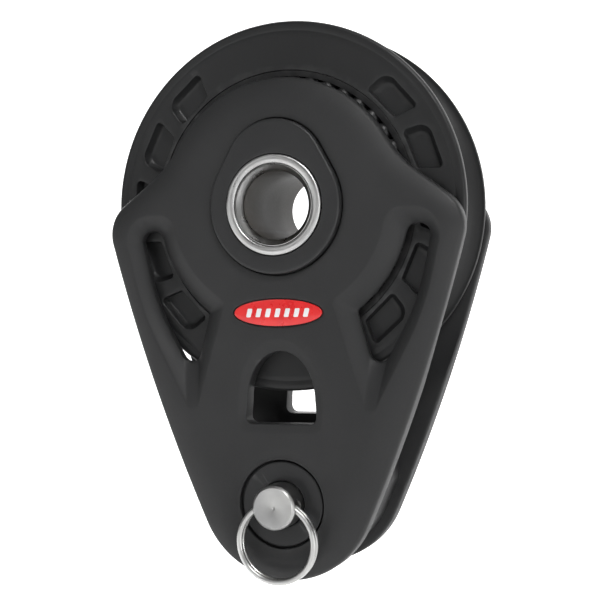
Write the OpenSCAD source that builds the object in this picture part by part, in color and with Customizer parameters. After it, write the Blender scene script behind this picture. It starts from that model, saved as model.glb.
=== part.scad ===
// Single sheave block with a hollow core, carried by a loop through the core.
// X runs across the block, Y along the sheave axis with the front cheek at -Y, Z up.
// The origin is the centre of the core on the middle plane, and the head points down.

/* [Sheave] */
// Outside diameter of the sheave
sheave_d = 100; // [96:0.5:102]
// Width of the sheave over its two flanges
sheave_w = 24; // [23:0.25:24.5]
// Radius of the rope groove's section
groove_r = 10; // [8.5:0.25:10]
// Depth of the rope groove below the flange rims
groove_depth = 8.5; // [7:0.25:9]
// Depth of the pockets in the flange faces
pocket_depth = 2; // [0.5:0.25:2.5]
// Angle that the sheave is turned through at rest
sheave_turn = -2.5; // [-20:0.5:20]

/* [Core and bearing] */
// Diameter of the hole through the core tube
core_bore_d = 18.4; // [16:0.2:18.8]
// Outside diameter of the core tube
core_d = 22; // [21.6:0.2:22.4]
// Outside diameter of the collars at the ends of the core tube
collar_d = 26.8; // [26:0.2:28]
// Outside diameter of the inner race
race_d = 34; // [33:0.5:34]
// Diameter of a main roller
roller_d = 6; // [4:0.1:6.4]
// Length of a main roller
roller_len = 17; // [12:0.5:17]
// Number of main rollers
roller_count = 16; // [10:1:16]
// Diameter of the circle of side balls
ball_circle_d = 66.4; // [66:0.1:67]
// Diameter of a side ball
ball_d = 4.76; // [3.5:0.01:4.8]
// Number of side balls in a ring
ball_count = 42; // [12:1:42]

/* [Cheeks] */
// Radius of the cheek's round top
top_r = 34.3; // [32:0.1:36]
// Radius of the cheek's round foot
foot_r = 25; // [24.8:0.1:26]
// Distance from the middle plane to the cheek's inner face
cheek_in = 12.8; // [12.7:0.05:13.2]
// Distance from the middle plane to the cheek's outer face
cheek_out = 18.8; // [18.4:0.1:19]
// Distance from the core down to the head pin
pin_drop = 79.7; // [79:0.1:81]

/* [Head pin and ring] */
// Diameter of the head pin
pin_d = 12; // [11:0.1:12.4]
// Distance from the middle plane to the pin's front end
pin_reach = 24.8; // [24.6:0.1:26]
// Outside diameter of the split ring
ring_d = 22.4; // [21:0.1:23]
// Diameter of the split ring's wire
wire_d = 1.6; // [1.2:0.1:1.6]
// Width of the throat for a rope's eye between the cheeks at the head
throat_w = 16; // [12:0.5:18]

/* [Hidden] */
$fn = 96;
// Small amount by which a cutter runs past the face that it cuts
over = 0.01;
// Length of a cutter that goes right through a cheek
through = 30;
// Running clearance on a radius
fit = 0.05;
// Gap round a piece that lies in a seat
seat_gap = 0.2;

// Hub plates: a round flange that swells towards the sheave's top, with a round spigot
plate_r = 18.4;
plate_top_r = 14.3;
plate_top_z = 8.6;
plate_floor = 17.2;
plate_face = 20.6;
spigot_r = race_d/2 - 1;
collar_floor = 18.9;
collar_face = 21.3;
tube_face = 20.9;

// Bearing
roller_circle_r = race_d/2 + fit + roller_d/2;
sheave_bore_r = race_d/2 + 2*fit + roller_d;
cage_wall = 2.8;
cage_end = 1;
washer_in = roller_len/2 + cage_end + 0.3;
washer_t = 1.3;
ball_h = cheek_in - fit - ball_d/2;
ball_groove_r = ball_d/2 + fit;
race_ring_w = 7;
race_ring_depth = 4.8;

// Cheek outline: tangent arcs, each given by its radius and the angles of its ends
blend_r = 31;
blend_a = 30;
shoulder_a = 53;
shoulder_len = 10.7;
corner_r = 10;
side_a = -15;
foot_a = -24.2;
blend_c = (top_r + blend_r)*[cos(blend_a), sin(blend_a)];
shoulder = blend_c - blend_r*[cos(shoulder_a), sin(shoulder_a)]
    + shoulder_len*[sin(shoulder_a), -cos(shoulder_a)];
corner_c = shoulder - corner_r*[cos(shoulder_a), sin(shoulder_a)];
side_r = (corner_c[0] + corner_r*cos(side_a) - foot_r*cos(foot_a))/(cos(side_a) - cos(foot_a));
side_c = corner_c - (side_r - corner_r)*[cos(side_a), sin(side_a)];
foot_c = [0, side_c[1] + (side_r - foot_r)*sin(foot_a)];

// Cheek section: its edge is a row of insets from the outline and heights above edge_h
edge_h = 17.3;
edge_round = [[0, -1.6], [0.35, -0.7], [1.1, -0.1], [2.2, 0.2]];
crown_w = 9;
crown_lap = 0.3;
crown_drop = 0.02;
window_h = 15.4;
recess_drop = 0.4;
land_in = 11;
land_r = 56;
boss_inset = 3;
boss_top = -62;
boss_r = 8;
throat_x = 14;
throat_top = -68;
screw_x = 19.2;
screw_z = -72;
screw_r = 2;
screw_head_r = 3.6;
screw_seat = 15.5;
screw_tip = 9;
label_w = 25;
label_h = 7.1;
label_z = -28.6;
label_t = 0.6;
arch_half = 9.6;
arch_rise = 13.1;
arch_z = -52;
arch_sill = -58.3;
arch_foot = 10;
arch_corner = 1.8;
arch_lip = 1.6;

// Head bushes, pin and ring
bush_r = 11.5;
bush_face = 17.8;
pin_head_r = 8.5;
pin_head_t = 3;
pin_bevel = 0.6;
ring_hole_r = 2.1;
ring_hole_h = 21.95;
ring_mid_r = (ring_d - wire_d)/2;
ring_lift = 0.9;

// Points along an arc
function arc(c, r, a, b, n = 8) = [for (i = [0:n]) c + r*[cos(a + (b - a)*i/n), sin(a + (b - a)*i/n)]];

// Points along the rounded corner at b, between a and c
function corner(a, b, c, r, n) =
    let (
        u = (a - b)/norm(a - b),
        w = (c - b)/norm(c - b),
        half = acos(u*w)/2,
        m = b + (u + w)/norm(u + w)*r/sin(half),
        s = b + u*r/tan(half) - m,
        e = b + w*r/tan(half) - m,
        from = atan2(s[1], s[0]),
        turn = (atan2(e[1], e[0]) - from + 540) % 360 - 180
    ) arc(m, r, from, from + turn, n);

// An outline with every corner rounded to its own radius
function rounded(p, r, n = 6) =
    [for (i = [0:len(p) - 1]) each corner(p[(i + len(p) - 1) % len(p)], p[i], p[(i + 1) % len(p)], r[i], n)];

// An arc without its last point, which the next arc starts from
function arc_start(c, r, a, b, n) = [for (i = [0:n - 1]) c + r*[cos(a + (b - a)*i/n), sin(a + (b - a)*i/n)]];

// Cheek outline, moved inwards by inset: down the right half, then up the left
function half_outline(inset) = concat(
    arc_start([0, 0], top_r - inset, 90, blend_a, 10),
    arc(blend_c, blend_r + inset, 180 + blend_a, 180 + shoulder_a, 5),
    arc_start(corner_c, corner_r - inset, shoulder_a, side_a, 6),
    arc_start(side_c, side_r - inset, side_a, foot_a, 8),
    arc(foot_c, foot_r - inset, foot_a, -90, 10));
function outline(inset) =
    let (p = half_outline(inset))
    concat(p, [for (i = [len(p) - 2:-1:1]) [-p[i][0], p[i][1]]]);

// Side window, and the wider recess around it: the last corner is the arc round the core
window = rounded([[35.6, -5.7], [41.9, -6], [37.4, -26.5], [26, -46.8], [21.2, -28.3], [31.4, -19.7]],
    [2.9, 2.9, 60, 3, 1.5, 35.3]);
recess = rounded([[30.5, -1.5], [46.3, -1.9], [40.2, -28], [24.9, -57.5], [15.1, -25.8], [27.4, -16.1]],
    [4.8, 7, 80, 1.6, 2, 29.6]);

// Solid through a stack of clockwise outlines, each with its height: [[outline, height], ...]
module loft(levels) {
    n = len(levels[0][0]);
    points = [for (l = levels) for (p = l[0]) [p[0], p[1], l[1]]];
    walls = [for (k = [0:len(levels) - 2]) for (i = [0:n - 1])
        let (a = k*n + i, b = k*n + (i + 1) % n) each [[a, b, b + n], [a, b + n, a + n]]];
    floor = [for (i = [n - 1:-1:0]) i];
    roof = [for (i = [0:n - 1]) (len(levels) - 1)*n + i];
    polyhedron(points, concat(walls, [floor], [roof]));
}

// What is drawn flat with its height measured from the middle plane stands on the front or the rear
module at_front() { rotate([90, 0, 0]) children(); }
module at_rear() { mirror([0, 1, 0]) rotate([90, 0, 0]) children(); }

module tube(r_out, r_in, low, high) {
    translate([0, 0, low]) difference() {
        cylinder(h = high - low, r = r_out);
        translate([0, 0, -over]) cylinder(h = high - low + 2*over, r = r_in);
    }
}

// Flat shape of a hub plate: arcs of two circles joined by the lines that touch both
module plate_shape(grow = 0) {
    lean = asin((plate_r - plate_top_r)/plate_top_z);
    polygon(concat(arc([0, plate_top_z], plate_top_r + grow, 180 - lean, lean, 20),
        arc([0, 0], plate_r + grow, lean, -180 - lean, 32)));
}

module label_shape(grow = 0) { scale([label_w/2 + grow, label_h/2 + grow]) circle(r = 1); }

// Half an ellipse on a slightly wider sill with rounded corners
module arch_shape(grow = 0) {
    c = arch_corner + grow;
    x = arch_foot - arch_corner;
    z = arch_sill + arch_corner;
    polygon(concat([for (i = [0:20]) [-(arch_half + grow)*cos(9*i), arch_z + (arch_rise + grow)*sin(9*i)]],
        arc([x, z], c, 0, -90, 4), arc([-x, z], c, -90, -180, 4)));
}

module boss_shape() {
    intersection() {
        polygon(outline(boss_inset));
        polygon(rounded([[-24, boss_top], [24, boss_top], [24, -110], [-24, -110]],
            [boss_r, boss_r, 1, 1]));
    }
}

module throat_shape() {
    polygon(rounded([[-throat_x, throat_top], [throat_x, throat_top], [throat_x, -110], [-throat_x, -110]],
        [5, 5, 1, 1]));
}

// One cheek with its half of the head, standing on the middle plane
module cheek() {
    difference() {
        union() {
            loft(concat([[outline(0), cheek_in]], [for (e = edge_round) [outline(e[0]), edge_h + e[1]]],
                [[outline(crown_w), cheek_out - crown_drop], [outline(crown_w + crown_lap), cheek_in + 2]]));
            translate([0, 0, cheek_in + 1]) linear_extrude(cheek_out - cheek_in - 1)
                polygon(outline(crown_w - crown_lap));
            translate([0, 0, land_in]) linear_extrude(cheek_in - land_in + 1) difference() {
                polygon(outline(0.6));
                circle(r = land_r);
            }
            translate([0, 0, 0.1]) linear_extrude(cheek_in + 0.5) boss_shape();
        }
        translate([0, 0, -1]) linear_extrude(throat_w/2 + 1) throat_shape();
        cylinder(h = through, r = spigot_r + fit);
        translate([0, 0, plate_floor]) linear_extrude(through) plate_shape(seat_gap);
        for (s = [0, 1]) mirror([s, 0, 0]) loft([[window, 5], [window, window_h],
            [recess, cheek_out - recess_drop], [recess, through]]);
        linear_extrude(through) arch_shape();
        translate([0, 0, cheek_out - arch_lip]) linear_extrude(through) arch_shape(arch_lip);
        translate([0, label_z, cheek_out - label_t]) linear_extrude(through) label_shape(seat_gap);
        translate([0, -pin_drop, 0]) cylinder(h = through, r = bush_r + fit);
    }
}

module front_cheek() {
    color("#3c3d40") at_front() difference() {
        cheek();
        for (s = [1, -1]) translate([s*screw_x, screw_z, -over])
            cylinder(h = screw_tip + 0.5, r = screw_r + fit);
    }
}

module rear_cheek() {
    color("#3c3d40") at_rear() difference() {
        cheek();
        for (s = [1, -1]) translate([s*screw_x, screw_z, 0]) {
            translate([0, 0, -over]) cylinder(h = through, r = screw_r + fit);
            translate([0, 0, screw_seat]) cylinder(h = through, r = screw_head_r + seat_gap);
        }
    }
}

module hub_plate() {
    difference() {
        union() {
            translate([0, 0, plate_floor]) linear_extrude(plate_face - plate_floor) plate_shape();
            translate([0, 0, cheek_in]) cylinder(h = plate_floor - cheek_in + over, r = spigot_r);
        }
        cylinder(h = through, r = core_d/2 + fit);
        translate([0, 0, collar_floor]) cylinder(h = through, r = collar_d/2 + fit);
    }
}
module front_hub_plate() { color("#323335") at_front() hub_plate(); }
module rear_hub_plate() { color("#323335") at_rear() hub_plate(); }

// The tube's wall has round ends and its mouths flare
module core_tube() {
    wall = (core_d - core_bore_d)/2;
    color("#d0d2d4") at_front() rotate_extrude() {
        translate([core_bore_d/2, -tube_face + wall]) square([wall, 2*(tube_face - wall)]);
        for (s = [1, -1]) intersection() {
            translate([core_d/2, s*(tube_face - wall)]) circle(r = wall);
            translate([core_bore_d/2, -tube_face]) square([wall, 2*tube_face]);
        }
    }
}

module core_collar() {
    lip = 1;
    rotate_extrude() union() {
        translate([core_d/2 + fit, collar_floor])
            square([(collar_d - core_d)/2 - fit, collar_face - collar_floor - lip]);
        translate([core_d/2 + fit + lip, collar_face - lip - over])
            square([(collar_d - core_d)/2 - fit - 2*lip, lip + over]);
        for (x = [core_d/2 + fit + lip, collar_d/2 - lip]) translate([x, collar_face - lip])
            circle(r = lip);
    }
}
module front_core_collar() { color("#d8dadc") at_front() core_collar(); }
module rear_core_collar() { color("#d8dadc") at_rear() core_collar(); }

module inner_race() {
    color("#9a9c9e") at_front() tube(race_d/2, core_d/2 + fit, -cheek_in, cheek_in);
}

module main_rollers() {
    color("#b98f4a") at_front() for (i = [0:roller_count - 1]) rotate(i*360/roller_count)
        translate([roller_circle_r, 0, -roller_len/2]) cylinder(h = roller_len, r = roller_d/2);
}

module roller_cage() {
    reach = roller_len/2 + cage_end;
    color("#26272a") at_front() difference() {
        tube(roller_circle_r + cage_wall/2, roller_circle_r - cage_wall/2, -reach, reach);
        for (i = [0:roller_count - 1]) rotate(i*360/roller_count)
            translate([roller_circle_r, 0, -roller_len/2 - 0.1])
                cylinder(h = roller_len + 0.2, r = roller_d/2 + 0.1);
    }
}

module bearing_washer() { tube(sheave_bore_r - 0.3, race_d/2 + fit, washer_in, washer_in + washer_t); }
module front_bearing_washer() { color("#e6e2d6") at_front() bearing_washer(); }
module rear_bearing_washer() { color("#e6e2d6") at_rear() bearing_washer(); }

// Five pockets on each side of the flange, leaving two plain sectors
module pockets() {
    pitch = 22.5;
    low = 38.1;
    high = 45.2;
    swirl = 1.1;
    half = 8.2;
    for (side = [0, 180], k = [-2:2]) rotate(sheave_turn + side + k*pitch)
        linear_extrude(10) polygon(rounded([low*[cos(half + swirl), sin(half + swirl)],
            high*[cos(half - swirl), sin(half - swirl)], high*[cos(half + swirl), -sin(half + swirl)],
            low*[cos(half - swirl), -sin(half - swirl)]], [1.2, 3.5, 1.2, 1.2], 3));
}

module sheave() {
    r = sheave_d/2;
    w = sheave_w/2;
    rim = 0.9;
    hub_w = 11;
    hub_r = (ball_circle_d - race_ring_w)/2;
    color("#2d2e30") at_front() difference() {
        rotate_extrude() difference() {
            union() {
                translate([sheave_bore_r, -hub_w]) square([r - rim - sheave_bore_r, 2*hub_w]);
                translate([hub_r, -w]) square([r - rim - hub_r, 2*w]);
                translate([sheave_bore_r, rim - w]) square([r - sheave_bore_r, 2*(w - rim)]);
                for (s = [1, -1]) translate([r - rim, s*(w - rim)]) circle(r = rim);
            }
            translate([0, hub_w]) square([hub_r, 5]);
            translate([0, -hub_w - 5]) square([hub_r, 5]);
            translate([r - groove_depth + groove_r, 0]) circle(r = groove_r);
            for (s = [0, 1]) mirror([0, s]) translate([hub_r, w - race_ring_depth])
                square([race_ring_w, 5]);
        }
        for (s = [0, 1]) mirror([0, 0, s]) translate([0, 0, w - pocket_depth]) pockets();
    }
}

// A pressed-in ring with the round groove that the side balls run in
module ball_race() {
    low = sheave_w/2 - race_ring_depth;
    rotate_extrude() difference() {
        translate([(ball_circle_d - race_ring_w)/2, low]) square([race_ring_w, race_ring_depth]);
        translate([ball_circle_d/2, ball_h]) circle(r = ball_groove_r);
    }
}
module front_ball_race() { color("#242527") at_front() ball_race(); }
module rear_ball_race() { color("#242527") at_rear() ball_race(); }

module side_balls() {
    for (i = [0:ball_count - 1]) rotate(i*360/ball_count) translate([ball_circle_d/2, 0, ball_h])
        sphere(r = ball_d/2);
}
module front_side_balls() { color("#1d1e20") at_front() side_balls(); }
module rear_side_balls() { color("#1d1e20") at_rear() side_balls(); }

module head_bush() { translate([0, -pin_drop, 0]) tube(bush_r, pin_d/2 + fit, throat_w/2, bush_face); }
module front_head_bush() { color("#2f3032") at_front() head_bush(); }
module rear_head_bush() { color("#2f3032") at_rear() head_bush(); }

// The shank has a cross hole for the ring near its front end and a flat head at the rear
module head_pin() {
    color("#c9cbcd") at_front() translate([0, -pin_drop, 0]) difference() {
        union() {
            translate([0, 0, -bush_face - 1])
                cylinder(h = bush_face + 1 + pin_reach - pin_bevel, r = pin_d/2);
            translate([0, 0, pin_reach - pin_bevel])
                cylinder(h = pin_bevel, r1 = pin_d/2, r2 = pin_d/2 - pin_bevel);
            translate([0, 0, -bush_face - 0.2 - pin_head_t]) cylinder(h = pin_head_t, r = pin_head_r);
        }
        translate([0, 0, ring_hole_h]) rotate([0, 90, 0])
            cylinder(h = 2*pin_d, r = ring_hole_r, center = true);
    }
}

// Two turns of wire side by side
module split_ring() {
    color("#d4d6d8") at_front() translate([0, ring_lift - ring_mid_r - pin_drop, ring_hole_h])
        rotate_extrude() for (s = [1, -1]) translate([ring_mid_r, s*(wire_d/2 - 0.02)])
            circle(r = wire_d/2);
}

module head_screws() {
    head_t = 2.4;
    socket_r = 1.5;
    color("#b8babc") at_rear() for (s = [1, -1]) translate([s*screw_x, screw_z, 0]) difference() {
        union() {
            translate([0, 0, -screw_tip]) cylinder(h = screw_tip + screw_seat + 1, r = screw_r);
            translate([0, 0, screw_seat]) cylinder(h = head_t, r = screw_head_r);
        }
        translate([0, 0, screw_seat + head_t - 1.4]) cylinder(h = 5, r = socket_r, $fn = 6);
    }
}

module label() {
    translate([0, label_z, cheek_out - label_t]) linear_extrude(label_t + 0.1) label_shape();
}
module front_label() { color("#e2231f") at_front() label(); }
module rear_label() { color("#e2231f") at_rear() label(); }

front_cheek();
rear_cheek();
front_hub_plate();
rear_hub_plate();
core_tube();
front_core_collar();
rear_core_collar();
inner_race();
main_rollers();
roller_cage();
front_bearing_washer();
rear_bearing_washer();
sheave();
front_ball_race();
rear_ball_race();
front_side_balls();
rear_side_balls();
front_head_bush();
rear_head_bush();
head_pin();
split_ring();
head_screws();
front_label();
rear_label();
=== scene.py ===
import math

import bmesh
import bpy
import numpy as np
from mathutils import Matrix, Vector
from mathutils.geometry import delaunay_2d_cdt


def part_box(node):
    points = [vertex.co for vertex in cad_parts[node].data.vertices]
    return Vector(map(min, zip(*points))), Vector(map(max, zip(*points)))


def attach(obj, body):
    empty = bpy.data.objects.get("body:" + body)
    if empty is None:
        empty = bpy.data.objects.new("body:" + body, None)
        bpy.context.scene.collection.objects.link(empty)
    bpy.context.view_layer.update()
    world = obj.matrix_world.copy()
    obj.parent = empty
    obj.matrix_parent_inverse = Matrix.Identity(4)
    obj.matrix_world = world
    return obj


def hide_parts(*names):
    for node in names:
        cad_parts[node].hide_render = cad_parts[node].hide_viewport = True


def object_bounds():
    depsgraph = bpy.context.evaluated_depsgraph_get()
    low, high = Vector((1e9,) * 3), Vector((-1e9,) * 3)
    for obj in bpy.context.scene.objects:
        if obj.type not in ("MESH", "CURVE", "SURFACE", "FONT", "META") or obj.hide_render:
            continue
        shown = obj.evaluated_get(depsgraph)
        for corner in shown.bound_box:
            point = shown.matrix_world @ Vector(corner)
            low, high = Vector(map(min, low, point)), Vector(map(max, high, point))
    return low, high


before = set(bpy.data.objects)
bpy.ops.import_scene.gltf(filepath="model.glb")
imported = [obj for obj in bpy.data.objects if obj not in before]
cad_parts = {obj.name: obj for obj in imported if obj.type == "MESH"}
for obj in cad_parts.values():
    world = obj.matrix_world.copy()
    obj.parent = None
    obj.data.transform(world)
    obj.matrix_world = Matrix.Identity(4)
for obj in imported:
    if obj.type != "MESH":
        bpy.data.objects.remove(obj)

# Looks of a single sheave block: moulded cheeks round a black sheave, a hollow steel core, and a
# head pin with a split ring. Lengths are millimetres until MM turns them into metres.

cad_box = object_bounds()
MM = 0.001


# ------------------------ sizes read from the frame

def low(node):
    return np.array(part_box(node)[0]) / MM


def high(node):
    return np.array(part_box(node)[1]) / MM


CORE_R = high("core_tube")[0]
CORE_FACE = high("core_tube")[1]
CORE_BORE_R = 9.2
COLLAR_R = high("front_core_collar")[0]
COLLAR_FACE = -low("front_core_collar")[1]
COLLAR_FLOOR = -high("front_core_collar")[1]
PLATE_R = high("front_hub_plate")[0]
PLATE_FACE = -low("front_hub_plate")[1]
PLATE_TOP = high("front_hub_plate")[2]
RACE_R = high("inner_race")[0]
RACE_H = high("inner_race")[1]
SHEAVE_H = high("sheave")[1]
RING_RACE_R = high("front_ball_race")[0]
RING_RACE_FLOOR = -high("front_ball_race")[1]
CHEEK_OUT = -low("front_cheek")[1]
CHEEK_TOP = high("front_cheek")[2]
BUSH_R = high("front_head_bush")[0]
BUSH_FACE = -low("front_head_bush")[1]
THROAT_H = -high("front_head_bush")[1]
PIN_Z = (low("front_head_bush")[2] + high("front_head_bush")[2]) / 2
PIN_HEAD_R = high("head_pin")[0]
PIN_FRONT = -low("head_pin")[1]
PIN_REAR = high("head_pin")[1]
RING_LOW, RING_HIGH = low("split_ring"), high("split_ring")
LABEL_LOW, LABEL_HIGH = low("front_label"), high("front_label")
SCREW_LOW, SCREW_HIGH = low("head_screws"), high("head_screws")
WASHER_R = high("front_bearing_washer")[0]
WASHER_IN, WASHER_OUT = -high("front_bearing_washer")[1], -low("front_bearing_washer")[1]

# Sizes that no box gives
CHEEK_IN = 12.8
LAND_IN, LAND_R, LAND_SLOPE = 11.0, 53.0, 9.0
PIN_R = 6.0
BALL_R = 2.38
RING_RACE_W = 7.0
BALL_CIRCLE_R = RING_RACE_R - RING_RACE_W / 2
BALL_COUNT = 42
BALL_H = -(low("front_side_balls")[1] + high("front_side_balls")[1]) / 2


# ------------------------ flat outlines, as (x, z) points

def arc(centre, r, start, end, n, r_up=None):
    """Points along an arc, or along an ellipse's arc if r_up is given. Angles in degrees."""
    a = np.radians(np.linspace(start, end, n + 1))
    return np.array(centre) + np.c_[r * np.cos(a), (r_up or r) * np.sin(a)]


def circle(centre, r, n):
    """The n points of a clockwise circle, from its top."""
    return arc(centre, r, 90, 90 - 360 * (n - 1) / n, n - 1)


def circles(profile, n, centre=(0, 0)):
    """A circle and its height for each (radius, height) point of a profile."""
    return [(circle(centre, r, n), h) for r, h in profile]


def corner(a, b, c, r, n):
    """Points along the rounded corner at b, between a and c."""
    a, b, c = map(np.array, (a, b, c))
    u, w = (a - b) / np.linalg.norm(a - b), (c - b) / np.linalg.norm(c - b)
    half = math.acos(float(u @ w)) / 2
    centre = b + (u + w) / np.linalg.norm(u + w) * r / math.sin(half)
    s, e = b + u * r / math.tan(half) - centre, b + w * r / math.tan(half) - centre
    start = math.degrees(math.atan2(s[1], s[0]))
    turn = (math.degrees(math.atan2(e[1], e[0])) - start + 540) % 360 - 180
    return arc(centre, r, start, start + turn, n)


def rounded(points, radii, n):
    """A closed outline with every corner rounded to its own radius."""
    k = len(points)
    return np.vstack([corner(points[i - 1], points[i], points[(i + 1) % k], radii[i], n) for i in range(k)])


def dense(loop, step):
    """The same outline with its long edges divided."""
    made = []
    for p, q in zip(loop, np.roll(loop, -1, axis=0)):
        n = max(1, round(float(np.linalg.norm(q - p)) / step))
        made += [p + (q - p) * i / n for i in range(n)]
    return np.array(made)


def offset(loop, distance):
    """A closed clockwise outline moved outwards by distance."""
    ahead, back = np.roll(loop, -1, axis=0) - loop, loop - np.roll(loop, 1, axis=0)
    along = ahead / np.linalg.norm(ahead, axis=1)[:, None] + back / np.linalg.norm(back, axis=1)[:, None]
    along /= np.linalg.norm(along, axis=1)[:, None]
    return loop + distance * np.c_[-along[:, 1], along[:, 0]]


def inside(points, loop):
    """Whether each point lies inside a closed outline."""
    x, z = points[:, 0][:, None], points[:, 1][:, None]
    x0, z0 = loop[:, 0], loop[:, 1]
    x1, z1 = np.roll(x0, -1), np.roll(z0, -1)
    crosses = (z0 > z) != (z1 > z)
    with np.errstate(divide="ignore", invalid="ignore"):
        at = x0 + (z - z0) * (x1 - x0) / (z1 - z0)
    return (crosses & (x < at)).sum(axis=1) % 2 == 1


def distance_to(points, loop):
    """Distance of each point to a closed outline."""
    best = np.full(len(points), 1e9)
    for p, q in zip(loop, np.roll(loop, -1, axis=0)):
        d = q - p
        t = np.clip(((points - p) @ d) / max(float(d @ d), 1e-12), 0, 1)
        best = np.minimum(best, np.linalg.norm(points - p - t[:, None] * d, axis=1))
    return best


def clip(loop, angle, reach):
    """The part of an outline that lies within reach of the origin along a direction."""
    n = np.array([math.cos(math.radians(angle)), math.sin(math.radians(angle))])
    made = []
    for p, q in zip(loop, np.roll(loop, -1, axis=0)):
        dp, dq = float(p @ n) - reach, float(q @ n) - reach
        if dp <= 0:
            made.append(p)
        if dp * dq < 0:
            made.append(p + (q - p) * dp / (dp - dq))
    return np.array(made)


# Cheek outline: tangent arcs from the round top, through the shoulder and the corner, to the foot
BLEND_R, BLEND_A = 31.0, 30.0
SHOULDER_A, SHOULDER_LEN = 53.0, 10.7
CORNER_R = 10.0
SIDE_A, FOOT_A = -15.0, -24.2
FOOT_R = 25.0


def ray(angle):
    """The unit vector at an angle in degrees."""
    return np.array([math.cos(math.radians(angle)), math.sin(math.radians(angle))])


def cheek_outline(inset, fine=3):
    """The cheek's outline moved inwards by inset, with fine sets of points along each arc."""
    blend_c = (CHEEK_TOP + BLEND_R) * ray(BLEND_A)
    shoulder = blend_c - BLEND_R * ray(SHOULDER_A) + SHOULDER_LEN * ray(SHOULDER_A - 90)
    corner_c = shoulder - CORNER_R * ray(SHOULDER_A)
    side_r = ((corner_c + CORNER_R * ray(SIDE_A) - FOOT_R * ray(FOOT_A)) / (ray(SIDE_A) - ray(FOOT_A)))[0]
    side_c = corner_c - (side_r - CORNER_R) * ray(SIDE_A)
    foot_c = np.array([0, side_c[1] + (side_r - FOOT_R) * ray(FOOT_A)[1]])
    half = np.vstack([
        arc((0, 0), CHEEK_TOP - inset, 90, BLEND_A, 12 * fine)[:-1],
        arc(blend_c, BLEND_R + inset, 180 + BLEND_A, 180 + SHOULDER_A, 4 * fine),
        arc(corner_c, CORNER_R - inset, SHOULDER_A, SIDE_A, 5 * fine),
        arc(side_c, side_r - inset, SIDE_A, FOOT_A, 26 * fine)[1:-1],
        arc(foot_c, FOOT_R - inset, FOOT_A, -90, 9 * fine)])
    return np.vstack([half, half[-2:0:-1] * (-1, 1)])


WINDOW = rounded([(35.6, -5.7), (41.9, -6), (37.4, -26.5), (26, -46.8), (21.2, -28.3), (31.4, -19.7)],
                 [2.9, 2.9, 60, 3, 1.5, 35.3], 14)
RECESS = rounded([(30.5, -1.5), (46.3, -1.9), (40.2, -28), (24.9, -57.5), (15.1, -25.8), (27.4, -16.1)],
                 [4.8, 7, 80, 1.6, 2, 29.6], 14)


def arch_outline(half_w, rise, middle, foot_w, sill, r):
    """A round arch above a foot with rounded corners."""
    top = arc((0, middle), half_w, 180, 0, 44, rise)
    right = np.linspace((half_w, middle), (foot_w, sill + r), 10)[1:-1]
    turn = arc((foot_w - r, sill + r), r, 0, -90, 6)
    floor = np.linspace((foot_w - r, sill), (0, sill), 8)[1:]
    half = np.vstack([right, turn, floor])
    return np.vstack([top, half, half[-2::-1] * (-1, 1)])


ARCH = arch_outline(9.6, 13.1, -52, 10.0, -58.3, 1.8)
ARCH_LIP = arch_outline(12.2, 16.0, -51.4, 12.4, -60.8, 3.2)
DISH = arch_outline(14.2, 17.2, -51.0, 16.6, -96.5, 14.0)


def plate_outline(grow):
    """Two circles of the hub plate joined by the lines that touch both."""
    drop, n = 8.6, 72
    top_r = PLATE_TOP - drop
    lean = math.degrees(math.asin((PLATE_R - top_r) / drop))
    flat = dense(np.vstack([arc((0, drop), top_r, 180 - lean, lean, n),
                            arc((0, 0), PLATE_R, lean, -180 - lean, 2 * n)]), 0.8)
    return offset(flat, grow)


# ------------------------ mesh building

# Height of a row of triangles, and the least distance from a grid point to a border, in steps
ROW_SHARE, CLEAR_SHARE = 0.866, 0.55


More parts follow.
